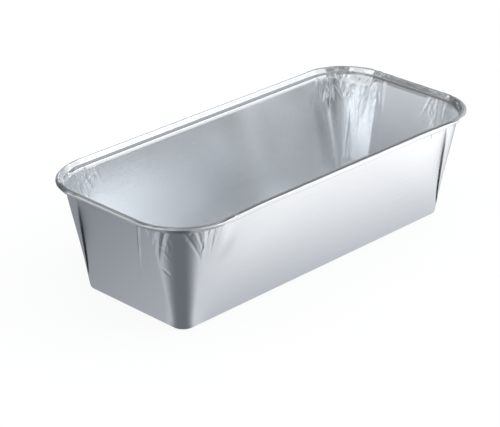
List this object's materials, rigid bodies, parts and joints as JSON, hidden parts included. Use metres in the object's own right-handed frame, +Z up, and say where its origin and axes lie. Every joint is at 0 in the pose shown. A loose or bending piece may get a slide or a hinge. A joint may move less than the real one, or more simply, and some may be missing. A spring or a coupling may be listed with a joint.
{
  "type": "disposable foil loaf pan",
  "caption": "Rectangular tapered loaf pan pressed from thin aluminium foil, with rounded gathered corners and a rolled rim, for baking a cake or loaf.",
  "frame": {"origin": "on the table, under the middle of the pan", "axes": "+X along the pan, +Y from the front wall to the rear wall, +Z up out of the open mouth"},
  "size_m": [0.23, 0.1074, 0.062],
  "materials": {
    "foil": "bright outside, satin inside"
  },
  "bodies": {
    "root": {"floor_panel": "foil", "front_wall": "foil", "rear_wall": "foil", "left_end_wall": "foil", "right_end_wall": "foil", "corner_front_left": "foil", "corner_front_right": "foil", "corner_rear_left": "foil", "corner_rear_right": "foil", "rolled_rim": "foil"}
  },
  "joints": []
}
